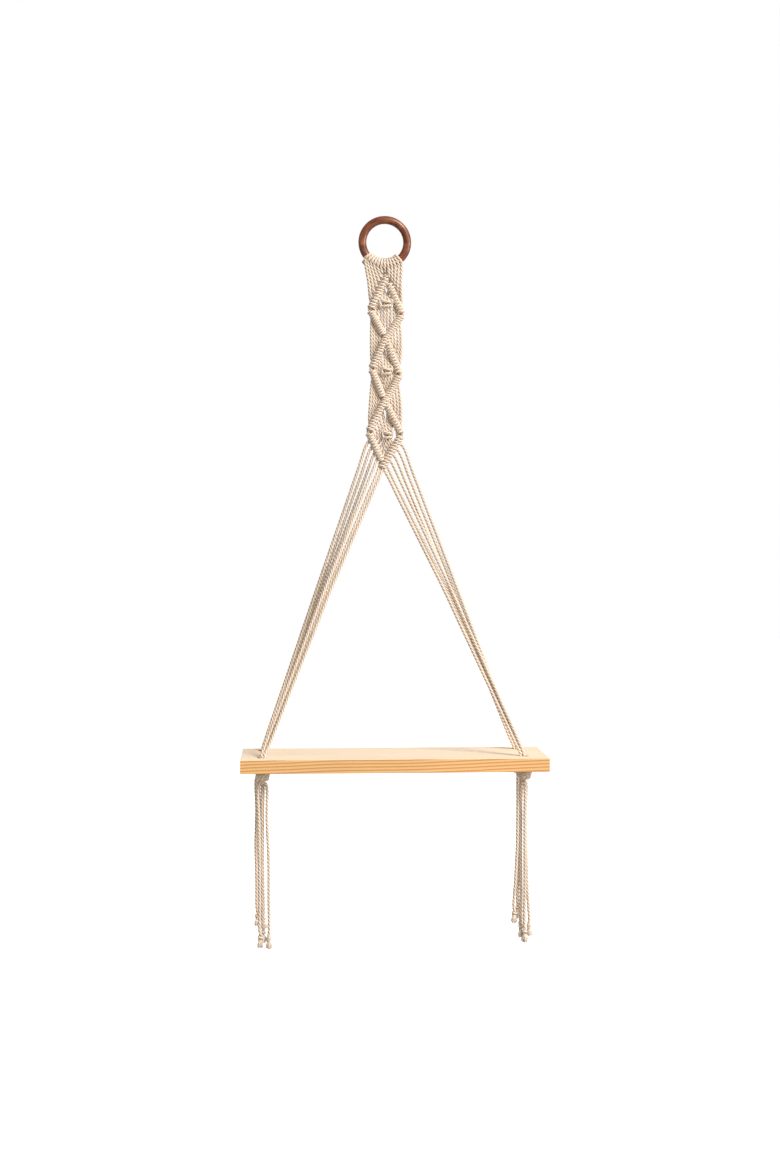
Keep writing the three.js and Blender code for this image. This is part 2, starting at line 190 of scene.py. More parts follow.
# A leading cord: its bow below the ring if it starts at the left, its places on the upper and
# on the lower bar as shares of their length, and how it rounds the corner between them.
LEADER_BOW = Vector((-1.8, 0, 0))
LEADER = {"upper": (0.25, 0.6, 0.93), "lower": (0.07, 0.4, 0.72), "round": 1.6, "corner_thick": 0.85}

# The stopper knot of three cords, one oval wrap each, and the small knot at a tail's end.
STOPPER = {"half_width": 7.6, "narrower": 0.7, "half_depth": 5.6, "top": 3.0, "drop": 2.9,
           "turns": 1.1, "steps": 16, "aside": 1.6, "core": 1.9, "later": 0.7, "slope": 0.9, "tilt": 0.12,
           "thick": 0.97}
END_KNOT = {"radius": 2.2, "height": 5.8, "turns": 1.8, "steps": 15, "thin": 0.78, "start": 0.12,
            "skew": 0.8, "round": 0.4}
TUFT_HEIGHT = 9

# A loose fibre: its points, its bend and taper as shares of its length and thickness, how its
# length varies, and the disc of roots that it grows from.
FIBRE = {"points": 6, "sides": 4, "radius": 0.00042, "bend": 0.16, "root": 1.15, "taper": 0.6,
         "crowd": 0.6, "shortest": 0.6, "longer": 0.4}
ROOTS = {"sides": 12, "wider": 1.1, "below": 0.4}

# Routes: the detail of the smooth curve, the seed of what is uneven, and the turn of the plies
# from one cord to the next, in radians.
ROUTE_DETAIL = 0.5
ROUTE_SEED = 11
PLY_TURN = 1.7

# Finishes. A pattern's scale is for each metre, a span is the part of a pattern that is
# stretched, and a tone is what the colour is multiplied by at its two ends. The yarns' scale is
# for each radius of a cord, and their run is what a metre along the cord counts as there.
NOISE_SPAN = (0.3, 0.7)
BUMP_DISTANCE = 0.15 * MM
# The groove power sharpens the painted shade that darkens the cotton in the grooves between the plies.
COTTON = {"yarns": 7, "yarn_run": 55, "fibres": 2600, "patches": 38, "painted_groove_shade_power": 1.5,
          "yarn_tone": (0.91, 1.04), "patch_tone": (0.94, 1.05), "yarn_relief": 0.7, "bump": 0.3}
COTTON_SURFACE = {"Roughness": 0.95, "Specular IOR Level": 0.2, "Sheen Weight": 0.25, "Sheen Roughness": 0.5}
# The metres that a radian round the ring counts as to its grain, few so that streaks are long.
RING_STREAK = 0.006
RING_WOOD = {"bands": 300, "streaks": 1100, "clouds": 60, "band_span": (0.36, 0.56), "glow_span": (0.5, 0.72),
             "pore_span": (0.34, 0.5), "pore_tone": (0.7, 1), "roughness": (0.42, 0.3), "bump": 0.1}
RING_SURFACE = {"Specular IOR Level": 0.4, "Coat Weight": 0.25, "Coat Roughness": 0.2}
# In the pine, the flat faces' last share is how far the top and bottom faces are painted paler: painted light
# from above and its sheen.
PINE = {"wander": (3.2, 9, 9), "drift": (0, 0.009, 0.009), "pith": (0, -0.024, 0.805),
        "pith_tilt": math.radians(1.7), "ring_width": 3.3 * MM, "rise": (0.3, 0.78), "fall": (0.86, 1.0),
        "line_power": 1.6, "flat_span": (0.3, 0.9), "flat_contrast": 0.2, "painted_light_most": 0.8,
        "fine": 1500, "fine_run": (0.035, 1, 1), "fine_tone": (0.93, 1.04),
        "clouds": 22, "cloud_run": (0.3, 1, 1), "cloud_tone": (0.95, 1.04), "line_relief": 0.6, "bump": 0.18}
PINE_SURFACE = {"Roughness": 0.55, "Specular IOR Level": 0.35}

# Stage, in metres, with the camera's sensor in millimetres: the camera, the lamps with the side
# of each square, and the floor's disc.
CAMERA = {"place": (-0.1148, -2.2471, -0.4082), "turn": math.radians(-3.1), "shift": -0.0453,
          "sensor": 36, "reach": 100}
LAMPS = {"key": {"place": (2.2, -3.0, 2.9), "size": 1.6}, "side": {"place": (3.2, -1.5, 0.1), "size": 1.8}}
LAMP_AIM = Vector((0, 0, -0.45))
LAMP_COLOUR = (1.0, 0.985, 0.965)
# The room lights the shelf in this colour, and the camera sees it white.
ROOM_COLOUR = (1.0, 0.93, 0.85)
WHITE = (1, 1, 1)
FLOOR = {"reach": 12, "sides": 64, "patches": 0.8, "tones": ((0.93, 0.93, 0.93), (0.95, 0.95, 0.95)),
         "glow": 0.7}


class RingSettings(bpy.types.PropertyGroup):
    section: bpy.props.FloatProperty(
        name="Section", description="Diameter of the ring's round section",
        default=10.6 * MM, min=0.001, unit="LENGTH")
    wood: bpy.props.FloatVectorProperty(
        name="Wood", description="Colour of the ring's wood",
        default=(0.235, 0.066, 0.026), size=3, min=0, max=1, subtype="COLOR")
    streak: bpy.props.FloatVectorProperty(
        name="Streak", description="Colour of the dark streaks in the ring's wood",
        default=(0.075, 0.018, 0.008), size=3, min=0, max=1, subtype="COLOR")
    glow: bpy.props.FloatVectorProperty(
        name="Glow", description="Colour of the pale clouds in the ring's wood",
        default=(0.33, 0.115, 0.046), size=3, min=0, max=1, subtype="COLOR")


class BoardSettings(bpy.types.PropertyGroup):
    edge: bpy.props.FloatProperty(
        name="Edge", description="Radius of the sanded edges",
        default=0.8 * MM, min=0.0001, unit="LENGTH")
    hole: bpy.props.FloatProperty(
        name="Hole", description="Diameter of each drilled hole",
        default=12.5 * MM, min=0.001, unit="LENGTH")
    early: bpy.props.FloatVectorProperty(
        name="Early wood", description="Colour of the pale wood between the grain lines",
        default=(0.855, 0.53, 0.24), size=3, min=0, max=1, subtype="COLOR")
    late: bpy.props.FloatVectorProperty(
        name="Late wood", description="Colour of the grain lines",
        default=(0.60, 0.25, 0.07), size=3, min=0, max=1, subtype="COLOR")
    # Painted light: the top and bottom faces are painted toward this paler colour, standing in for the light
    # and sheen that fall on the top.
    face: bpy.props.FloatVectorProperty(
        name="Face", description="Colour that the top and bottom faces fade to",
        default=(0.98, 0.86, 0.70), size=3, min=0, max=1, subtype="COLOR")


class CordSettings(bpy.types.PropertyGroup):
    diameter: bpy.props.FloatProperty(
        name="Diameter", description="Diameter of a cord over its plies",
        default=4.5 * MM, min=0.001, unit="LENGTH")
    lay: bpy.props.FloatProperty(
        name="Lay", description="Length in which the plies turn once round the cord",
        default=15 * MM, min=0.001, unit="LENGTH")
    step: bpy.props.FloatProperty(
        name="Step", description="Length of cord between two rings of points",
        default=1.08 * MM, min=0.0002, unit="LENGTH")
    groove: bpy.props.FloatProperty(
        name="Groove", description="Depth of the grooves between the plies, as a share of the radius",
        default=0.3, min=0, max=0.5, subtype="FACTOR")
    plies: bpy.props.IntProperty(name="Plies", description="Plies of a cord", default=3, min=2)
    points: bpy.props.IntProperty(
        name="Points", description="Points across each ply of the section", default=4, min=3)
    colour: bpy.props.FloatVectorProperty(
        name="Cotton", description="Colour of the cotton",
        default=(0.88, 0.78, 0.67), size=3, min=0, max=1, subtype="COLOR")
    # Painted shade: the cotton is painted this darker, browner colour in the grooves between the plies, where
    # shade falls.
    shade: bpy.props.FloatVectorProperty(
        name="Groove shade", description="Colour of the cotton in the grooves",
        default=(0.46, 0.30, 0.18), size=3, min=0, max=1, subtype="COLOR")


class TuftSettings(bpy.types.PropertyGroup):
    fibres: bpy.props.IntProperty(
        name="Fibres", description="Fibres of one frayed end", default=220, min=1)
    length: bpy.props.FloatProperty(
        name="Length", description="Length of the longest fibre",
        default=10.2 * MM, min=0.001, unit="LENGTH")
    spread: bpy.props.FloatProperty(
        name="Spread", description="How far a fibre may lean outwards",
        default=math.radians(38), min=0, unit="ROTATION")
    seed: bpy.props.IntProperty(name="Seed", description="Seed of the fraying", default=7)


class StageSettings(bpy.types.PropertyGroup):
    floor: bpy.props.FloatProperty(
        name="Floor", description="Height of the floor", default=-1.3, unit="LENGTH")
    lens: bpy.props.FloatProperty(
        name="Lens", description="Focal length of the camera",
        default=52.31 * MM, min=0.001, unit="LENGTH")
    key: bpy.props.FloatProperty(
        name="Key light", description="Power of the key light", default=222, min=0, unit="POWER")
    side: bpy.props.FloatProperty(
        name="Side light", description="Power of the light at the right", default=70, min=0, unit="POWER")
    sky: bpy.props.FloatProperty(
        name="Sky", description="Strength of the even light all round", default=0.47, min=0)


def settings(name):
    return getattr(bpy.context.scene, "shelf_" + name)


# Materials


def new_material(name):
    material = bpy.data.materials.new(name)
    material.use_nodes = True
    return material, material.node_tree.nodes, material.node_tree.links


def noise(nodes, links, vector, scale, detail=4, roughness=0.55):
    node = nodes.new("ShaderNodeTexNoise")
    node.inputs["Scale"].default_value = scale
    node.inputs["Detail"].default_value = detail
    node.inputs["Roughness"].default_value = roughness
    links.new(vector, node.inputs["Vector"])
    return node.outputs["Fac"]


def mapped(nodes, links, vector, location=(0, 0, 0), rotation=(0, 0, 0), scale=(1, 1, 1)):
    node = nodes.new("ShaderNodeMapping")
    node.inputs["Location"].default_value = location
    node.inputs["Rotation"].default_value = rotation
    node.inputs["Scale"].default_value = scale
    links.new(vector, node.inputs["Vector"])
    return node.outputs["Vector"]


def number(nodes, links, operation, *values):
    node = nodes.new("ShaderNodeMath")
    node.operation = operation
    for socket, value in zip(node.inputs, values):
        if isinstance(value, (int, float)):
            socket.default_value = value
        else:
            links.new(value, socket)
    return node.outputs["Value"]


def ranged(nodes, links, value, low, high, to_low=0, to_high=1):
    node = nodes.new("ShaderNodeMapRange")
    for name, limit in (("From Min", low), ("From Max", high), ("To Min", to_low), ("To Max", to_high)):
        node.inputs[name].default_value = limit
    links.new(value, node.inputs["Value"])
    return node.outputs["Result"]


def mixed(nodes, links, share, first, second, blend="MIX"):
    node = nodes.new("ShaderNodeMix")
    node.data_type = "RGBA"
    node.blend_type = blend
    for socket, value in ((node.inputs[0], share), (node.inputs[6], first), (node.inputs[7], second)):
        if isinstance(value, (int, float)):
            socket.default_value = value
        elif isinstance(value, bpy.types.NodeSocket):
            links.new(value, socket)
        else:
            socket.default_value = (*value, 1)
    return node.outputs[2]


def bumped(nodes, links, height, strength):
    node = nodes.new("ShaderNodeBump")
    node.inputs["Strength"].default_value = strength
    node.inputs["Distance"].default_value = BUMP_DISTANCE
    links.new(height, node.inputs["Height"])
    return node.outputs["Normal"]


def surfaced(shader, values):
    """Sets what is the same all over a surface on the shader's own sockets."""
    for name, value in values.items():
        shader.inputs[name].default_value = value


def toned(nodes, links, colour, tone):
    """The colour times a grey tone."""
    grey = nodes.new("ShaderNodeCombineColor")
    for socket in grey.inputs:
        links.new(tone, socket)
    return mixed(nodes, links, 1.0, colour, grey.outputs["Color"], "MULTIPLY")


def cotton_material():
    """Cream cotton: painted shade that darkens the plies in their grooves, yarns and fibres that run along
    the plies.
    """
    cord = settings("cord")
    material, nodes, links = new_material("twisted_cotton")
    shader = nodes["Principled BSDF"]
    place = nodes.new("ShaderNodeAttribute")
    place.attribute_name = "ply_place"
    length = nodes.new("ShaderNodeAttribute")
    length.attribute_name = "cord_length"
    reach = nodes.new("ShaderNodeVectorMath")
    reach.operation = "LENGTH"
    links.new(place.outputs["Vector"], reach.inputs[0])
    depth = ranged(nodes, links, reach.outputs["Value"], 1 - cord.groove, 1, 1, 0)
    along = nodes.new("ShaderNodeCombineXYZ")
    run = number(nodes, links, "MULTIPLY", length.outputs["Fac"], COTTON["yarn_run"])
    links.new(run, along.inputs["Z"])
    yarn_place = nodes.new("ShaderNodeVectorMath")
    yarn_place.operation = "ADD"
    links.new(place.outputs["Vector"], yarn_place.inputs[0])
    links.new(along.outputs["Vector"], yarn_place.inputs[1])
    yarns = noise(nodes, links, yarn_place.outputs["Vector"], COTTON["yarns"], 3)
    objects = nodes.new("ShaderNodeTexCoord").outputs["Object"]
    fibres = noise(nodes, links, objects, COTTON["fibres"], 3, 0.7)
    patches = noise(nodes, links, objects, COTTON["patches"], 3)
    # Painted shade: the deeper a point lies in a groove between the plies, the more it takes the darker
    # groove shade colour.
    groove = number(nodes, links, "POWER", depth, COTTON["painted_groove_shade_power"])
    base = mixed(nodes, links, groove, cord.colour, cord.shade)
    yarn_tone = ranged(nodes, links, yarns, *NOISE_SPAN, *COTTON["yarn_tone"])
    patch_tone = ranged(nodes, links, patches, *NOISE_SPAN, *COTTON["patch_tone"])
    tone = number(nodes, links, "MULTIPLY", yarn_tone, patch_tone)
    links.new(toned(nodes, links, base, tone), shader.inputs["Base Color"])
    raised = number(nodes, links, "MULTIPLY", yarns, COTTON["yarn_relief"])
    relief = number(nodes, links, "ADD", raised, fibres)
    links.new(bumped(nodes, links, relief, COTTON["bump"]), shader.inputs["Normal"])
    surfaced(shader, COTTON_SURFACE)
    return material


def ring_material():
    """Dark red-brown hardwood: streaks that run round the ring, pores and a polished coat."""
    ring = settings("ring")
    material, nodes, links = new_material("polished_hardwood")
    shader = nodes["Principled BSDF"]
    objects = nodes.new("ShaderNodeTexCoord").outputs["Object"]
    centred = mapped(nodes, links, objects, location=-RING_CENTRE * MM)
    parts = nodes.new("ShaderNodeSeparateXYZ")
    links.new(centred, parts.inputs["Vector"])
    across, deep, high = (parts.outputs[axis] for axis in "XYZ")
    turn = number(nodes, links, "ARCTAN2", across, high)
    reach = nodes.new("ShaderNodeVectorMath")
    reach.operation = "LENGTH"
    links.new(mapped(nodes, links, centred, scale=(1, 0, 1)), reach.inputs[0])
    grain = nodes.new("ShaderNodeCombineXYZ")
    links.new(reach.outputs["Value"], grain.inputs["X"])
    links.new(deep, grain.inputs["Y"])
    links.new(number(nodes, links, "MULTIPLY", turn, RING_STREAK), grain.inputs["Z"])
    bands = noise(nodes, links, grain.outputs["Vector"], RING_WOOD["bands"], 4, 0.6)
    streaks = noise(nodes, links, grain.outputs["Vector"], RING_WOOD["streaks"], 3, 0.6)
    clouds = noise(nodes, links, objects, RING_WOOD["clouds"], 2)
    banded = ranged(nodes, links, bands, *RING_WOOD["band_span"])
    wood = mixed(nodes, links, banded, ring.streak, ring.wood)
    glowing = mixed(nodes, links, ranged(nodes, links, clouds, *RING_WOOD["glow_span"]), wood, ring.glow)
    pores = ranged(nodes, links, streaks, *RING_WOOD["pore_span"], *RING_WOOD["pore_tone"])
    links.new(toned(nodes, links, glowing, pores), shader.inputs["Base Color"])
    roughness = ranged(nodes, links, streaks, *NOISE_SPAN, *RING_WOOD["roughness"])
    links.new(roughness, shader.inputs["Roughness"])
    links.new(bumped(nodes, links, streaks, RING_WOOD["bump"]), shader.inputs["Normal"])
    surfaced(shader, RING_SURFACE)
    return material


def pine_material():
    """Flat-sawn pine: growth rings about a pith that lies along the board, below and behind, with the top and
    bottom faces painted paler as painted light.
    """
    board = settings("board")
    material, nodes, links = new_material("planed_pine")
    shader = nodes["Principled BSDF"]
    coordinates = nodes.new("ShaderNodeTexCoord")
    objects = coordinates.outputs["Object"]
    wander = nodes.new("ShaderNodeTexNoise")
    wander.inputs["Scale"].default_value = 1
    wander.inputs["Detail"].default_value = 2
    stretched = mapped(nodes, links, objects, scale=PINE["wander"])
    links.new(stretched, wander.inputs["Vector"])
    drift = nodes.new("ShaderNodeVectorMath")
    drift.operation = "MULTIPLY_ADD"
    links.new(wander.outputs["Color"], drift.inputs[0])
    drift.inputs[1].default_value = PINE["drift"]
    links.new(objects, drift.inputs[2])
    tilted = mapped(nodes, links, drift.outputs["Vector"], location=PINE["pith"],
                    rotation=(0, PINE["pith_tilt"], 0))
    pith = mapped(nodes, links, tilted, scale=(0, 1, 1))
    reach = nodes.new("ShaderNodeVectorMath")
    reach.operation = "LENGTH"
    links.new(pith, reach.inputs[0])
    rings = number(nodes, links, "DIVIDE", reach.outputs["Value"], PINE["ring_width"])
    phase = number(nodes, links, "FRACT", rings)
    rise = ranged(nodes, links, phase, *PINE["rise"])
    fall = ranged(nodes, links, phase, *PINE["fall"], 1, 0)
    line = number(nodes, links, "MULTIPLY", number(nodes, links, "POWER", rise, PINE["line_power"]), fall)
    normal = nodes.new("ShaderNodeSeparateXYZ")
    links.new(coordinates.outputs["Normal"], normal.inputs["Vector"])
    flat = number(nodes, links, "ABSOLUTE", normal.outputs["Z"])
    contrast = ranged(nodes, links, flat, *PINE["flat_span"], 1, PINE["flat_contrast"])
    strength = number(nodes, links, "MULTIPLY", line, contrast)
    fine = noise(nodes, links, mapped(nodes, links, objects, scale=PINE["fine_run"]), PINE["fine"], 3, 0.6)
    clouds = noise(nodes, links, mapped(nodes, links, objects, scale=PINE["cloud_run"]), PINE["clouds"], 3)
    base = mixed(nodes, links, strength, board.early, board.late)
    # Painted light: the top and bottom faces are mixed toward the paler face colour, for the light and sheen
    # that fall on the top.
    painted_light_share = ranged(nodes, links, flat, *PINE["flat_span"], 0, PINE["painted_light_most"])
    pale = mixed(nodes, links, painted_light_share, base, board.face)
    tone = number(nodes, links, "MULTIPLY", ranged(nodes, links, fine, *NOISE_SPAN, *PINE["fine_tone"]),
                  ranged(nodes, links, clouds, *NOISE_SPAN, *PINE["cloud_tone"]))
    links.new(toned(nodes, links, pale, tone), shader.inputs["Base Color"])
    raised = number(nodes, links, "MULTIPLY", line, PINE["line_relief"])
    relief = number(nodes, links, "ADD", raised, fine)
    links.new(bumped(nodes, links, relief, PINE["bump"]), shader.inputs["Normal"])
    surfaced(shader, PINE_SURFACE)
    return material


def floor_material():
    material, nodes, links = new_material("pale_floor")
    shader = nodes["Principled BSDF"]
    objects = nodes.new("ShaderNodeTexCoord").outputs["Object"]
    tone = mixed(nodes, links, noise(nodes, links, objects, FLOOR["patches"]), *FLOOR["tones"])
    links.new(tone, shader.inputs["Base Color"])
    surfaced(shader, {"Roughness": 1, "Specular IOR Level": 0, "Emission Color": (*WHITE, 1),
                      "Emission Strength": FLOOR["glow"]})
    return material


MAKERS = {"twisted_cotton": cotton_material, "polished_hardwood": ring_material,
          "planed_pine": pine_material, "pale_floor": floor_material}


def finish(name):
    """The material with this name, made when it is first asked for."""
    return bpy.data.materials.get(name) or MAKERS[name]()


# Pieces


def finished(piece, slot, *nodes):
    """Gives a piece its body, and lets it stand for its nodes."""
    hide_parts(*nodes)
    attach(piece, "root")


def add_object(name, data):
    piece = bpy.data.objects.new(name, data)
    bpy.context.collection.objects.link(piece)
    return piece


def grown(host, name, tree, values):
    """Runs a tree on the host with its named values, and keeps the result as a plain piece."""
    modifier = host.modifiers.new("make", "NODES")
    modifier.node_group = tree
    for item in tree.interface.items_tree:
        if item.item_type == "SOCKET" and item.in_out == "INPUT" and item.name in values:
            modifier[item.identifier] = values[item.name]
    depsgraph = bpy.context.evaluated_depsgraph_get()
    evaluated = host.evaluated_get(depsgraph)
    mesh = bpy.data.meshes.new_from_object(evaluated, preserve_all_data_layers=True, depsgraph=depsgraph)
    bpy.data.objects.remove(host)
    if not mesh.polygons:
        raise RuntimeError("no faces came out of the tree for " + name)
    mesh.shade_smooth()
    mesh.name = name
    return add_object(name, mesh)


class Tree:
    """A geometry node tree with named inputs."""

    def __init__(self, name, inputs):
        self.tree = bpy.data.node_groups.new(name, "GeometryNodeTree")
        self.tree.interface.new_socket("Geometry", in_out="INPUT", socket_type="NodeSocketGeometry")
        for title, kind, default in inputs:
            socket = self.tree.interface.new_socket(title, in_out="INPUT", socket_type="NodeSocket" + kind)
            if default is not None:
                socket.default_value = default
        self.tree.interface.new_socket("Geometry", in_out="OUTPUT", socket_type="NodeSocketGeometry")
        self.given = self.node("NodeGroupInput").outputs

    def node(self, kind, inputs=(), **fields):
        node = self.tree.nodes.new(kind)
        for field, value in fields.items():
            setattr(node, field, value)
        for key, value in dict(inputs).items():
            if isinstance(value, bpy.types.NodeSocket):
                self.tree.links.new(value, node.inputs[key])
            else:
                node.inputs[key].default_value = value
        return node

    def math(self, operation, *values):
        node = self.node("ShaderNodeMath", operation=operation)
        for socket, value in zip(node.inputs, values):
            if isinstance(value, bpy.types.NodeSocket):
                self.tree.links.new(value, socket)
            else:
                socket.default_value = value
        return node.outputs[0]

    def read(self, name, data_type="FLOAT"):
        node = self.node("GeometryNodeInputNamedAttribute", data_type=data_type)
        node.inputs["Name"].default_value = name
        return node.outputs["Attribute"]

    def finish(self, geometry):
        """Ends the tree: real instances, then the material, then the output."""
        real = self.node("GeometryNodeRealizeInstances", {"Geometry": geometry})
        coated = self.node("GeometryNodeSetMaterial", {
            "Geometry": real.outputs[0], "Material": self.given["Material"]})
        self.node("NodeGroupOutput", {"Geometry": coated.outputs[0]})
        return self.tree


def cord_tree():
    """Lays plies along polylines that carry their radius, the plies' direction and the length."""
    tree = Tree("twisted_cord", [
        ("Plies", "Int", 3), ("Points", "Int", 4), ("Groove", "Float", 0.2), ("Material", "Material", None)])
    count = tree.math("MULTIPLY", tree.given["Plies"], tree.given["Points"])
    circle = tree.node("GeometryNodeCurvePrimitiveCircle", {"Resolution": count, "Radius": 1.0})
    index = tree.node("GeometryNodeInputIndex").outputs[0]
    turn = tree.math("DIVIDE", tree.math("MULTIPLY", index, math.pi), tree.given["Points"])
    bulge = tree.math("ABSOLUTE", tree.math("COSINE", turn))
    floor = tree.math("SUBTRACT", 1.0, tree.given["Groove"])
    reach = tree.math("ADD", floor, tree.math("MULTIPLY", bulge, tree.given["Groove"]))
    place = tree.node("GeometryNodeInputPosition").outputs[0]
    scaled = tree.node("ShaderNodeVectorMath", {0: place, "Scale": reach}, operation="SCALE")
    lobed = tree.node("GeometryNodeSetPosition", {
        "Geometry": circle.outputs[0], "Position": scaled.outputs[0]})
    kept = tree.node("GeometryNodeStoreNamedAttribute", {
        "Geometry": lobed.outputs[0], "Name": "ply_place",
        "Value": tree.node("GeometryNodeInputPosition").outputs[0]}, data_type="FLOAT_VECTOR")
    path = tree.node("GeometryNodeMeshToCurve", {"Mesh": tree.given["Geometry"]})
    turned = tree.node("GeometryNodeSetCurveNormal", {
        "Curve": path.outputs[0], "Normal": tree.read("ply_normal", "FLOAT_VECTOR")}, mode="FREE")
    skin = tree.node("GeometryNodeCurveToMesh", {
        "Curve": turned.outputs[0], "Profile Curve": kept.outputs[0],
        "Scale": tree.read("cord_radius"), "Fill Caps": True})
    return tree.finish(skin.outputs[0])


def fray_tree():
    """Grows loose fibres from small discs, each one leaning out of its disc."""
    tree = Tree("frayed_end", [
        ("Density", "Float", 5.0e6), ("Length", "Float", 0.009), ("Spread", "Float", 0.5),
        ("Radius", "Float", FIBRE["radius"]), ("Seed", "Int", 7), ("Material", "Material", None)])
    roots = tree.node("GeometryNodeDistributePointsOnFaces", {
        "Mesh": tree.given["Geometry"], "Density": tree.given["Density"], "Seed": tree.given["Seed"]})
    line = tree.node("GeometryNodeCurvePrimitiveLine", {"End": (0, 0, -1)})
    steps = tree.node("GeometryNodeResampleCurve", {"Curve": line.outputs[0], "Count": FIBRE["points"]})
    share = tree.node("GeometryNodeSplineParameter").outputs["Factor"]
    bend = tree.math("MULTIPLY", tree.math("POWER", share, 2.0), FIBRE["bend"])
    shift = tree.node("ShaderNodeCombineXYZ", {"X": bend})
    bent = tree.node("GeometryNodeSetPosition", {"Geometry": steps.outputs[0], "Offset": shift.outputs[0]})
    ring = tree.node("GeometryNodeCurvePrimitiveCircle", {"Resolution": FIBRE["sides"], "Radius": 1.0})
    slender = tree.math("DIVIDE", tree.given["Radius"], tree.given["Length"])
    thinner = tree.math("MULTIPLY", share, FIBRE["taper"])
    taper = tree.math("MULTIPLY", slender, tree.math("SUBTRACT", FIBRE["root"], thinner))
    fibre = tree.node("GeometryNodeCurveToMesh", {
        "Curve": bent.outputs[0], "Profile Curve": ring.outputs[0], "Scale": taper, "Fill Caps": True})
    kept = tree.node("GeometryNodeStoreNamedAttribute", {
        "Geometry": fibre.outputs[0], "Name": "ply_place", "Value": (0, 1, 0)}, data_type="FLOAT_VECTOR")
    lean = tree.node("FunctionNodeRandomValue", {
        "Min": (0, 0, 0), "Max": (1, 1, 1), "Seed": tree.given["Seed"]}, data_type="FLOAT_VECTOR")
    parts = tree.node("ShaderNodeSeparateXYZ", {"Vector": lean.outputs["Value"]})
    tilt = tree.math("MULTIPLY", tree.math("POWER", parts.outputs["X"], FIBRE["crowd"]), tree.given["Spread"])
    spin = tree.math("MULTIPLY", parts.outputs["Y"], 2 * math.pi)
    angles = tree.node("ShaderNodeCombineXYZ", {"Y": tilt, "Z": spin})
    rotation = tree.node("FunctionNodeEulerToRotation", {"Euler": angles.outputs[0]})
    longer = tree.math("MULTIPLY", parts.outputs["Z"], FIBRE["longer"])
    reach = tree.math("MULTIPLY", tree.given["Length"], tree.math("ADD", longer, FIBRE["shortest"]))
    placed = tree.node("GeometryNodeInstanceOnPoints", {
        "Points": roots.outputs["Points"], "Instance": kept.outputs[0],
        "Rotation": rotation.outputs[0], "Scale": reach})
    return tree.finish(placed.outputs[0])


# Cords


def flat(corner):
    """A place in the plane of the band, from (x, z)."""
    return Vector((corner[0], 0, corner[1]))


def other(side):
    return "right" if side == "left" else "left"


def uneven(rng, reach):
    """A random step of up to the reach either way."""
    return rng.uniform(-reach, reach)


def crossing(index):
    """Where the two leading cords cross: above the first diamond, between two, and below the last."""
    if index == 0:
        return flat(DIAMONDS[0]["apex"])
    if index == len(DIAMONDS):
        return flat(DIAMONDS[-1]["foot"])
    return (flat(DIAMONDS[index - 1]["foot"]) + flat(DIAMONDS[index]["apex"])) / 2


def head_angle(place):
    """Angle on the ring from straight down, for a place counted in wraps from the left."""
    share = place / (2 * CORDS_A_SIDE)
    return math.radians(HEADS["from"] + (HEADS["to"] - HEADS["from"]) * share)


def on_ring(angle, radius, depth):
    return RING_CENTRE + Vector((radius * math.sin(angle), depth, -radius * math.cos(angle)))


class Way:
    """The route of one cord: places in millimetres, each with the cord's thickness there."""

    def __init__(self):
        self.places = []
        self.thickness = []
        self.marks = []

    def to(self, place, thickness=1.0):
        self.places.append(Vector(place))
        self.thickness.append(thickness)

    def mark(self):
        """The last place is where one piece ends and the next begins."""
        self.marks.append(len(self.places) - 1)


def wrap_head(way, side, rank):
    """From the middle of the fold behind the ring, round the ring's section, down in front."""
    section = settings("ring").section / MM / 2
    cord = settings("cord").diameter / MM / 2
    place = rank - 0.5 if side == "left" else 2 * CORDS_A_SIDE - rank + 0.5
    partner = place + 1 if int(place) % 2 == 0 else place - 1
    middle = RING_OUTER - section
    wrap = section + cord + HEAD_WRAP["clear"]
    pitch = abs(head_angle(1) - head_angle(0))
    start = head_angle((place + partner) / 2)
    lift = cord * HEAD_WRAP["lift"]
    fold = on_ring(start, middle + wrap * HEAD_FOLD["up"] + lift, wrap * HEAD_FOLD["back"] + lift)
    way.to(fold, HEAD_FOLD["thick"])
    turn = HEAD_WRAP["from"]
    while turn <= HEAD_WRAP["to"]:
        around = math.radians(turn)
        radius = middle + wrap * math.cos(around)
        share = min(1.0, (turn - HEAD_WRAP["from"]) / HEAD_WRAP["merge"])
        angle = start + (head_angle(place) - start) * (0.5 + 0.5 * share)
        raised = lift * (1 - share)
        thickness = min(1.0, HEAD_WRAP["press"] * pitch * radius / 2 / cord)
        way.to(on_ring(angle, radius + raised, wrap * math.sin(around) + raised), thickness)
        turn += HEAD_WRAP["step"]


def hitch(way, centre, along, pitch, rng):
    """A double half hitch round a leading cord that runs along the bar."""
    out = Vector((-along.z, 0, along.x))
    if out.z < 0:
        out = -out
    cord = settings("cord").diameter / MM / 2
    thickness = min(HITCH["thickest"], (pitch / 2 + HITCH["press"]) / cord)
    reach = HITCH["reach"] + uneven(rng, HITCH["uneven"])
    turn = HITCH["from"]
    while turn <= HITCH["to"]:
        around = math.radians(turn)
        behind = HITCH["behind"] * max(0.0, 1 - (turn - HITCH["from"]) / (HITCH_BEHIND_UNTIL - HITCH["from"]))
        shift = pitch * (turn - HITCH_MIDDLE) / 360
        way.to(centre + along * shift + out * (reach + behind) * math.cos(around)
               + BACK * (HITCH["depth"] + behind) * math.sin(around), thickness)
        turn += HITCH["step"]


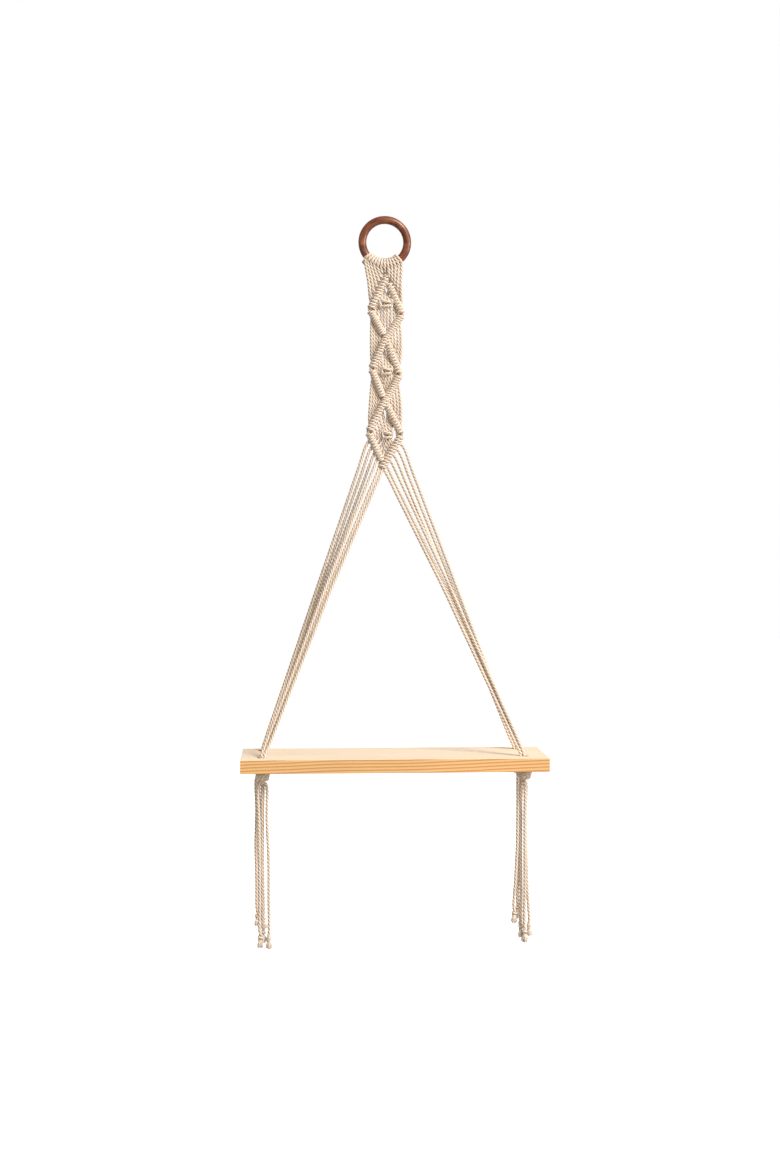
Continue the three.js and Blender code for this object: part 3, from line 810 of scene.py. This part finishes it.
def bars():
    """Each diagonal bar as (diamond, side, upper): its start, direction and pitch, and where its
    first hitch lies. The leading cord from the right carries the bar across each crossing."""
    made = {}
    for index, diamond in enumerate(DIAMONDS):
        for side in ("left", "right"):
            corner = flat(diamond[side])
            for upper in (True, False):
                start, end = (crossing(index), corner) if upper else (corner, crossing(index + 1))
                carried = (side == "left") == upper
                length = (end - start).length
                wraps = 2 * (CORDS_A_SIDE - 1)
                if carried:
                    pitch = (length - CORNER_CLEAR) / (wraps + 1)
                    gap = pitch
                else:
                    pitch = min(WIDEST_PITCH, (length - CORNER_CLEAR - CROSSING_CLEAR) / wraps)
                    gap = length - CORNER_CLEAR - wraps * pitch
                made[index, side, upper] = {
                    "start": start, "along": (end - start).normalized(), "pitch": pitch,
                    "first": gap if upper else CORNER_CLEAR}
    return made


def hitch_place(bar, upper, rank):
    """The middle of a cord's hitch on a bar."""
    order = CORDS_A_SIDE - 1 - rank if upper else rank - 1
    return bar["start"] + bar["along"] * (bar["first"] + (2 * order + 1) * bar["pitch"])


def hitch_on(way, bar, upper, rank, rng):
    hitch(way, hitch_place(bar, upper, rank), bar["along"], bar["pitch"], rng)


def cross_hitch(way, made, index, rng):
    """The leading cord from the left is hitched over the one from the right."""
    if index < len(DIAMONDS):
        bar = made[index, "left", True]
    else:
        bar = made[index - 1, "right", False]
    hitch(way, crossing(index), bar["along"], bar["pitch"], rng)


def square_knot(way, diamond, side, rank):
    centre = flat(diamond["knot"])
    if rank == CORDS_A_SIDE - 1:
        sign = -1 if side == "left" else 1
        for rise in (FILLERS["above"], 0, -FILLERS["above"]):
            way.to(centre + Vector((sign * FILLERS["apart"], 0, rise)), FILLERS["thick"])
        return
    for across, deep, rise in (KNOT_IN_FRONT if side == "left" else KNOT_BEHIND):
        way.to(centre + Vector((across * diamond["wide"], deep, rise)), KNOT_THICK)


def leg_route(way, side, rank):
    """From the last bar to the hole, near the solids' strands, then through the board."""
    last = DIAMONDS[-1]
    sign = -1 if side == "left" else 1
    depth = "rear" if rank <= CORDS_A_HOLE else "front"
    along_bar = (rank - 0.5) / (CORDS_A_SIDE - 1)
    start = flat(last[side]).lerp(flat(last["foot"]), along_bar)
    if rank == CORDS_A_SIDE:
        start = flat(last["foot"]) - Vector((sign * LEG["apart"], 0, 0))
    # The outer cord of three stays outside in the hole and the inner one inside, so none cross.
    order = 1 - (rank - 1) % CORDS_A_HOLE
    angle = math.pi / 2 - sign * 2 * math.pi * order / CORDS_A_HOLE
    centre = Vector((HOLE_X[side] - sign * LEG["lean"], HOLE_Y[depth], 0))
    ray = Vector((math.cos(angle), math.sin(angle), 0))

    def in_hole(spread, height):
        return centre + ray * spread + Vector((0, 0, height))

    mouth = in_hole(LEG["spread"], BOARD_HIGH.z + LEG["straight"])
    above = in_hole(LEG["open"], BOARD_HIGH.z + LEG["close"])
    slope = (start - above).normalized() * (LEG["close"] - LEG["straight"])
    above += Vector((slope.x, slope.y, 0))
    middle = start.lerp(above, LEG["bow_at"])
    middle.x += sign * LEG["bow"] * rank / CORDS_A_SIDE
    way.to(start + (middle - start).normalized() * STUB)
    way.mark()
    for begin, end in ((start, middle), (middle, above)):
        for share in QUARTERS:
            way.to(begin.lerp(end, share))
        way.to(end)
    way.to(mouth)
    way.to(in_hole(LEG["spread"], BOARD_HIGH.z - LEG["pressed_from"]), LEG["pressed"])
    way.to(in_hole(LEG["spread"], BOARD_LOW.z), LEG["pressed"])
    way.mark()


def stopper(way, hole, place):
    """One oval wrap of the stopper knot."""
    begin = math.pi + STOPPER["later"] * place
    width = STOPPER["half_width"] - STOPPER["narrower"] * place
    for step in range(STOPPER["steps"] + 1):
        share = step / STOPPER["steps"]
        angle = begin - 2 * math.pi * STOPPER["turns"] * share
        height = BOARD_LOW.z - STOPPER["top"] - STOPPER["drop"] * (place + share * STOPPER["slope"])
        tilt = STOPPER["tilt"] * width * math.cos(angle)
        way.to(hole + Vector((STOPPER["aside"] + width * math.cos(angle),
                              STOPPER["half_depth"] * math.sin(angle), height + tilt)), STOPPER["thick"])


def tail_route(way, side, depth, place, rng):
    """From the hole through the stopper knot to the small knot at the frayed end."""
    hole = Vector((HOLE_X[side], HOLE_Y[depth], 0))
    tail = TAILS[side, depth][place]

    def at(offset, height):
        return hole + Vector((offset[0], offset[1], height))

    stopper(way, hole, place)
    low = BOARD_LOW.z - STOPPER["top"] - CORDS_A_HOLE * STOPPER["drop"]
    angle = 2 * math.pi * place / CORDS_A_HOLE
    core = (STOPPER["core"] * math.cos(angle), STOPPER["core"] * math.sin(angle))
    way.to(at(core, low + TAIL["core_rise"]), TAIL["core_thick"])
    leaving = [inner * TAIL["core_share"] + outer * TAIL["top_share"]
               for inner, outer in zip(core, tail["top"])]
    way.to(at(leaving, low - TAIL["core_drop"]))
    top = BOARD_LOW.z - STOPPER["top"] - TAIL["opens_below"]
    knot_top = tail["reach"] + TUFT_HEIGHT + END_KNOT["height"]
    heights = [top + (knot_top - top) * share for share in QUARTERS]

    def between(first, second):
        """A place half way between two of the tail's, a little uneven."""
        return [(one + two) / 2 + uneven(rng, TAIL["uneven"]) for one, two in zip(tail[first], tail[second])]

    way.to(at(tail["top"], top))
    way.to(at(between("top", "middle"), heights[0]))
    way.to(at(tail["middle"], heights[1]))
    way.to(at(between("middle", "end"), heights[2]))
    way.to(at(tail["end"], knot_top + TAIL["above_knot"]))
    for step in range(END_KNOT["steps"] + 1):
        share = step / END_KNOT["steps"]
        angle = 2 * math.pi * END_KNOT["turns"] * share + place
        swell = max(END_KNOT["start"], share) ** END_KNOT["skew"]
        radius = END_KNOT["radius"] * math.sin(math.pi * swell) ** END_KNOT["round"]
        centre = at(tail["end"], knot_top - END_KNOT["height"] * share)
        way.to(centre + Vector((radius * math.cos(angle), radius * math.sin(angle), 0)), END_KNOT["thin"])
    for drop, thickness in TAIL_END:
        way.to(at(tail["end"], tail["reach"] + TUFT_HEIGHT - drop), thickness)


def hanging_cord(side, rank, made, rng):
    """One of the five cords of a side that are hitched over the leading cords."""
    way = Way()
    sign = -1 if side == "left" else 1
    wrap_head(way, side, rank)
    for index, diamond in enumerate(DIAMONDS):
        above = way.places[-1]
        upper = made[index, side, True]
        between = above.lerp(hitch_place(upper, True, rank), 0.5)
        between.x += sign * BOW_OUT[side if index else "ring"][rank - 1] + uneven(rng, HANG_UNEVEN[0])
        if index:
            between.y = HANG_DEPTH + uneven(rng, HANG_UNEVEN[1])
        way.to(between)
        hitch_on(way, upper, True, rank, rng)
        if rank > CORDS_A_SIDE - 3:
            across = diamond["above"][side][rank - CORDS_A_SIDE + 2]
            hitched, knotted = way.places[-1].z, diamond["knot"][1] + FILLERS["above"]
            way.to((across, ABOVE_KNOT["deep"], hitched + (knotted - hitched) * ABOVE_KNOT["share"]))
            square_knot(way, diamond, side, rank)
        else:
            above, below = way.places[-1], hitch_place(made[index, side, False], False, rank)
            across, deep = diamond["beside"][side][rank - 1]
            across += uneven(rng, BESIDE_UNEVEN[0])
            deep += uneven(rng, BESIDE_UNEVEN[1])
            for share in BESIDE_KNOT:
                way.to((across, deep, above.z + (below.z - above.z) * share))
        hitch_on(way, made[index, side, False], False, rank, rng)
    return way


def leading_cord(side, made, rng):
    """A leading cord starts at the middle of the ring on one side, crosses at every crossing and
    runs inside the bars. At a crossing the one that comes from the left is hitched."""
    way = Way()
    wrap_head(way, side, CORDS_A_SIDE)
    at_side = side
    thin = HITCH["leader"]
    if side == "left":
        way.to(way.places[-1].lerp(crossing(0), 0.5) + LEADER_BOW)
    for index in range(len(DIAMONDS) + 1):
        place = crossing(index)
        if at_side == "left":
            cross_hitch(way, made, index, rng)
        else:
            way.to(place, thin)
        at_side = other(at_side)
        if index == len(DIAMONDS):
            break
        corner = flat(DIAMONDS[index][at_side])
        following = crossing(index + 1)
        sign = -1 if at_side == "left" else 1
        for share in LEADER["upper"]:
            way.to(place.lerp(corner, share), thin)
        way.to(corner + Vector((sign * LEADER["round"], 0, 0)), LEADER["corner_thick"])
        for share in LEADER["lower"]:
            way.to(corner.lerp(following, share), thin)
    return way, at_side


def smoothed(way, detail):
    """A centripetal curve through the places: dense places, thicknesses and the marks' indices."""
    places = [way.places[0] * 2 - way.places[1], *way.places, way.places[-1] * 2 - way.places[-2]]
    dense, thick, marks = [], [], []
    for index in range(1, len(places) - 2):
        p0, p1, p2, p3 = places[index - 1:index + 3]
        t1 = max((p1 - p0).length, 1e-3) ** 0.5
        t2 = t1 + max((p2 - p1).length, 1e-3) ** 0.5
        t3 = t2 + max((p3 - p2).length, 1e-3) ** 0.5
        if index - 1 in way.marks:
            marks.append(len(dense))
        steps = max(2, math.ceil((p2 - p1).length / detail))
        for step in range(steps):
            share = step / steps
            t = t1 + (t2 - t1) * share
            a1 = p0.lerp(p1, t / t1)
            a2 = p1.lerp(p2, share)
            a3 = p2.lerp(p3, (t - t2) / (t3 - t2))
            b1 = a1.lerp(a2, t / t2)
            b2 = a2.lerp(a3, (t - t1) / (t3 - t1))
            dense.append(b1.lerp(b2, share))
            thick.append(way.thickness[index - 1] * (1 - share) + way.thickness[index] * share)
    dense.append(way.places[-1])
    thick.append(way.thickness[-1])
    return dense, thick, marks


class Stations:
    """Evenly spaced stations along a cord with the frame that its plies follow."""

    def __init__(self, way, offset):
        cord = settings("cord")
        dense, thick, marks = smoothed(way, ROUTE_DETAIL)
        lengths = [0.0]
        for before, after in zip(dense, dense[1:]):
            lengths.append(lengths[-1] + (after - before).length)
        cuts = [0.0, *[lengths[mark] for mark in marks], lengths[-1]]
        self.parts = []
        self.place, self.radius, self.length = [], [], []
        index = 0
        for begin, end in zip(cuts, cuts[1:]):
            count = max(2, round((end - begin) * MM / cord.step))
            first = len(self.place) - 1 if self.place else 0
            for step in range(count + 1):
                if step == 0 and self.place:
                    continue
                length = begin + (end - begin) * step / count
                while index < len(lengths) - 2 and lengths[index + 1] < length:
                    index += 1
                span = max(lengths[index + 1] - lengths[index], 1e-6)
                share = min(1.0, max(0.0, (length - lengths[index]) / span))
                self.place.append(dense[index].lerp(dense[index + 1], share))
                self.radius.append(thick[index] * (1 - share) + thick[index + 1] * share)
                self.length.append(length)
            self.parts.append((first, len(self.place) - 1))
        self.radius = [value * cord.diameter / 2 for value in self.radius]
        self.normal = self.plies(cord.lay / MM, offset)
        self.offset = offset

    def plies(self, lay, offset):
        """Directions of the first ply: carried along the cord without turning, then twisted."""
        last = len(self.place) - 1
        tangents = [(self.place[min(i + 1, last)] - self.place[max(i - 1, 0)]).normalized()
                    for i in range(last + 1)]
        carried = tangents[0].orthogonal().normalized()
        normals = []
        for index, tangent in enumerate(tangents):
            if index:
                carried = tangents[index - 1].rotation_difference(tangent) @ carried
                carried = (carried - tangent * carried.dot(tangent)).normalized()
            angle = offset - 2 * math.pi * self.length[index] / lay
            normals.append(Quaternion(tangent, angle) @ carried)
        return normals


def cords_piece(name, runs):
    """One piece from runs of stations, as (stations, part)."""
    cord = settings("cord")
    places, edges, radii, normals, lengths = [], [], [], [], []
    for stations, part in runs:
        first, last = stations.parts[part]
        base = len(places)
        places += [place * MM for place in stations.place[first:last + 1]]
        radii += stations.radius[first:last + 1]
        normals += [value for normal in stations.normal[first:last + 1] for value in normal]
        lengths += [length * MM + stations.offset for length in stations.length[first:last + 1]]
        edges += [(index, index + 1) for index in range(base, len(places) - 1)]
    mesh = bpy.data.meshes.new(name)
    mesh.from_pydata(places, edges, [])
    for title, kind, field, values in (
            ("cord_radius", "FLOAT", "value", radii), ("cord_length", "FLOAT", "value", lengths),
            ("ply_normal", "FLOAT_VECTOR", "vector", normals)):
        mesh.attributes.new(title, kind, "POINT").data.foreach_set(field, values)
    host = add_object(name + "_path", mesh)
    tree = bpy.data.node_groups.get("twisted_cord") or cord_tree()
    return grown(host, name, tree, {
        "Plies": cord.plies, "Points": cord.points, "Groove": cord.groove,
        "Material": finish("twisted_cotton")})


ALL_CORDS = {}


def all_cords():
    """Every cord of the shelf, as {(side at the board, rank, side at the ring): stations}."""
    if ALL_CORDS:
        return ALL_CORDS
    made = bars()
    rng = random.Random(ROUTE_SEED)
    offset = 0.0
    for side in ("left", "right"):
        for rank in range(1, CORDS_A_SIDE + 1):
            if rank < CORDS_A_SIDE:
                way, ends = hanging_cord(side, rank, made, rng), side
            else:
                way, ends = leading_cord(side, made, rng)
            leg_route(way, ends, rank)
            depth = "rear" if rank <= CORDS_A_HOLE else "front"
            tail_route(way, ends, depth, (rank - 1) % CORDS_A_HOLE, rng)
            offset += PLY_TURN
            ALL_CORDS[ends, rank, side] = Stations(way, offset)
    return ALL_CORDS


def cords_of(side, depth):
    rear = depth == "rear"
    return [stations for (ends, rank, _), stations in all_cords().items()
            if ends == side and (rank <= CORDS_A_HOLE) == rear]


# Operators


class MACRAME_OT_stage(bpy.types.Operator):
    """Lays the pale floor, lights it softly and sets up the camera"""
    bl_idname = "macrame.stage"
    bl_label = "Stage"

    def execute(self, context):
        stage = settings("stage")
        self.camera(context, stage)
        self.floor(stage)
        self.sky(context, stage)
        for name, lamp in LAMPS.items():
            self.light(name + "_light", lamp, getattr(stage, name))
        context.scene.view_settings.view_transform = "Standard"
        return {"FINISHED"}

    def camera(self, context, stage):
        data = bpy.data.cameras.new("camera")
        data.sensor_fit = "VERTICAL"
        data.sensor_height = CAMERA["sensor"]
        data.lens = stage.lens / MM
        data.shift_y = CAMERA["shift"]
        data.clip_end = CAMERA["reach"]
        camera = add_object("camera", data)
        camera.location = CAMERA["place"]
        camera.rotation_euler = (math.radians(90), 0, CAMERA["turn"])
        context.scene.camera = camera

    def floor(self, stage):
        reach, sides = FLOOR["reach"], FLOOR["sides"]
        rim = [(reach * math.cos(2 * math.pi * i / sides), reach * math.sin(2 * math.pi * i / sides),
                stage.floor) for i in range(sides)]
        mesh = bpy.data.meshes.new("floor")
        mesh.from_pydata(rim, [], [range(sides)])
        mesh.materials.append(finish("pale_floor"))
        floor = add_object("floor", mesh)
        floor.visible_diffuse = False
        floor.visible_glossy = False

    def sky(self, context, stage):
        world = bpy.data.worlds.new("soft_white")
        world.use_nodes = True
        nodes, links = world.node_tree.nodes, world.node_tree.links
        ground = nodes["Background"]
        seen = nodes.new("ShaderNodeLightPath").outputs["Is Camera Ray"]
        links.new(mixed(nodes, links, seen, ROOM_COLOUR, WHITE), ground.inputs["Color"])
        links.new(ranged(nodes, links, seen, 0, 1, stage.sky, 1), ground.inputs["Strength"])
        context.scene.world = world

    def light(self, name, lamp, power):
        data = bpy.data.lights.new(name, "AREA")
        data.energy = power
        data.size = lamp["size"]
        data.color = LAMP_COLOUR
        light = add_object(name, data)
        light.location = lamp["place"]
        aim = LAMP_AIM - Vector(lamp["place"])
        light.rotation_euler = aim.to_track_quat("-Z", "Y").to_euler()


class MACRAME_OT_ring(bpy.types.Operator):
    """Turns the wooden ring"""
    bl_idname = "macrame.ring"
    bl_label = "Ring"

    def execute(self, context):
        section = settings("ring").section / 2
        middle = RING_OUTER * MM - section
        around, across = 128, 32
        places, faces = [], []
        for turn in range(around):
            angle = 2 * math.pi * turn / around
            for side in range(across):
                tube = 2 * math.pi * side / across
                radius = middle + section * math.cos(tube)
                places.append((RING_CENTRE.x * MM + radius * math.sin(angle), section * math.sin(tube),
                               RING_CENTRE.z * MM + radius * math.cos(angle)))
                after, next_side = (turn + 1) % around, (side + 1) % across
                faces.append((turn * across + side, turn * across + next_side,
                              after * across + next_side, after * across + side))
        mesh = bpy.data.meshes.new("ring_turned")
        mesh.from_pydata(places, [], faces)
        mesh.materials.append(finish("polished_hardwood"))
        mesh.shade_smooth()
        finished(add_object("ring_turned", mesh), "ring_wood", "ring")
        return {"FINISHED"}


class MACRAME_OT_board(bpy.types.Operator):
    """Planes the pine board, eases its edges and drills its four holes"""
    bl_idname = "macrame.board"
    bl_label = "Board"

    def execute(self, context):
        board = settings("board")
        outline = bpy.data.curves.new("board_outline", "CURVE")
        outline.dimensions = "2D"
        outline.fill_mode = "BOTH"
        low, high = BOARD_LOW * MM, BOARD_HIGH * MM
        corners = [(low.x, low.y), (high.x, low.y), (high.x, high.y), (low.x, high.y)]
        self.loop(outline, corners, board.edge)
        steps = 48
        for x in HOLE_X.values():
            for y in HOLE_Y.values():
                rim = [(x * MM + board.hole / 2 * math.cos(2 * math.pi * i / steps),
                        y * MM + board.hole / 2 * math.sin(2 * math.pi * i / steps)) for i in range(steps)]
                self.loop(outline, rim, 0)
        outline.extrude = (high.z - low.z) / 2 - board.edge
        outline.bevel_depth = board.edge
        outline.bevel_resolution = 3
        outline.offset = -board.edge
        host = add_object("board_host", outline)
        depsgraph = bpy.context.evaluated_depsgraph_get()
        mesh = bpy.data.meshes.new_from_object(host.evaluated_get(depsgraph))
        bpy.data.objects.remove(host)
        for vertex in mesh.vertices:
            vertex.co.z += (low.z + high.z) / 2
        mesh.shade_flat()
        mesh.materials.clear()
        mesh.materials.append(finish("planed_pine"))
        mesh.name = "board_planed"
        finished(add_object("board_planed", mesh), "board_wood", "board")
        return {"FINISHED"}

    def loop(self, outline, corners, ease):
        spline = outline.splines.new("POLY")
        spline.points.add(len(corners) - 1)
        for point, (x, y) in zip(spline.points, corners):
            point.co = (x, y, 0, 1)
        spline.use_cyclic_u = True


class MACRAME_OT_band(bpy.types.Operator):
    """Knots the band of three diamonds from the twelve cords"""
    bl_idname = "macrame.band"
    bl_label = "Band"

    def execute(self, context):
        for side in ("left", "right"):
            runs = [(stations, 0) for (_, _, began), stations in all_cords().items() if began == side]
            finished(cords_piece("band_cords_" + side, runs), "cotton_cord", "macrame_band")
        return {"FINISHED"}


class MACRAME_OT_legs(bpy.types.Operator):
    """Hangs the legs, three cords to each hole of the board"""
    bl_idname = "macrame.legs"
    bl_label = "Legs"

    def execute(self, context):
        for side in ("left", "right"):
            for depth in ("front", "rear"):
                name = f"leg_{side}_{depth}"
                runs = [(stations, 1) for stations in cords_of(side, depth)]
                finished(cords_piece(name + "_cords", runs), "cotton_cord", name)
        return {"FINISHED"}


class MACRAME_OT_tails(bpy.types.Operator):
    """Ties the stopper knots under the board and lets the tails hang"""
    bl_idname = "macrame.tails"
    bl_label = "Tails"

    def execute(self, context):
        for side in ("left", "right"):
            for depth in ("front", "rear"):
                name = f"tails_{side}_{depth}"
                runs = [(stations, 2) for stations in cords_of(side, depth)]
                finished(cords_piece(name + "_cords", runs), "cotton_cord", name)
        return {"FINISHED"}


class MACRAME_OT_tufts(bpy.types.Operator):
    """Frays the ends of the tails"""
    bl_idname = "macrame.tufts"
    bl_label = "Frayed ends"

    def execute(self, context):
        tuft = settings("tuft")
        radius = settings("cord").diameter / 2 * ROOTS["wider"]
        sides = ROOTS["sides"]
        for (side, depth), tails in TAILS.items():
            places, faces = [], []
            for tail in tails:
                x, y = HOLE_X[side] + tail["end"][0], HOLE_Y[depth] + tail["end"][1]
                base = len(places)
                height = (tail["reach"] + TUFT_HEIGHT - ROOTS["below"]) * MM
                places += [(x * MM + radius * math.cos(2 * math.pi * i / sides),
                            y * MM + radius * math.sin(2 * math.pi * i / sides), height)
                           for i in range(sides)]
                faces.append(range(base, base + sides))
            name = f"frayed_{side}_{depth}"
            mesh = bpy.data.meshes.new(name)
            mesh.from_pydata(places, [], faces)
            tree = bpy.data.node_groups.get("frayed_end") or fray_tree()
            density = tuft.fibres / (math.pi * radius ** 2)
            piece = grown(add_object(name + "_ends", mesh), name, tree, {
                "Density": density, "Length": tuft.length, "Spread": tuft.spread, "Seed": tuft.seed,
                "Material": finish("twisted_cotton")})
            finished(piece, "cotton_cord", f"tails_{side}_{depth}")
        return {"FINISHED"}


class MACRAME_PT_panel(bpy.types.Panel):
    """Lists the makers of the shelf and their sizes"""
    bl_idname = "MACRAME_PT_panel"
    bl_label = "Macrame wall shelf"
    bl_space_type = "VIEW_3D"
    bl_region_type = "UI"
    bl_category = "Shelf"

    def draw(self, context):
        for operator in OPERATORS:
            self.layout.operator(operator.bl_idname)
        for name, group in GROUPS.items():
            box = self.layout.box()
            for field in group.__annotations__:
                box.prop(getattr(context.scene, "shelf_" + name), field)


GROUPS = {"ring": RingSettings, "board": BoardSettings, "cord": CordSettings, "tuft": TuftSettings,
          "stage": StageSettings}
OPERATORS = (MACRAME_OT_stage, MACRAME_OT_ring, MACRAME_OT_board, MACRAME_OT_band, MACRAME_OT_legs,
             MACRAME_OT_tails, MACRAME_OT_tufts)


def register():
    for name, group in GROUPS.items():
        bpy.utils.register_class(group)
        setattr(bpy.types.Scene, "shelf_" + name, bpy.props.PointerProperty(type=group))
    for kind in (*OPERATORS, MACRAME_PT_panel):
        bpy.utils.register_class(kind)


def unregister():
    for kind in (MACRAME_PT_panel, *OPERATORS):
        bpy.utils.unregister_class(kind)
    for name, group in GROUPS.items():
        delattr(bpy.types.Scene, "shelf_" + name)
        bpy.utils.unregister_class(group)


def main():
    register()
    bpy.ops.macrame.stage()
    bpy.ops.macrame.ring()
    bpy.ops.macrame.board()
    bpy.ops.macrame.band()
    bpy.ops.macrame.legs()
    bpy.ops.macrame.tails()
    bpy.ops.macrame.tufts()


if __name__ == "__main__":
    main()
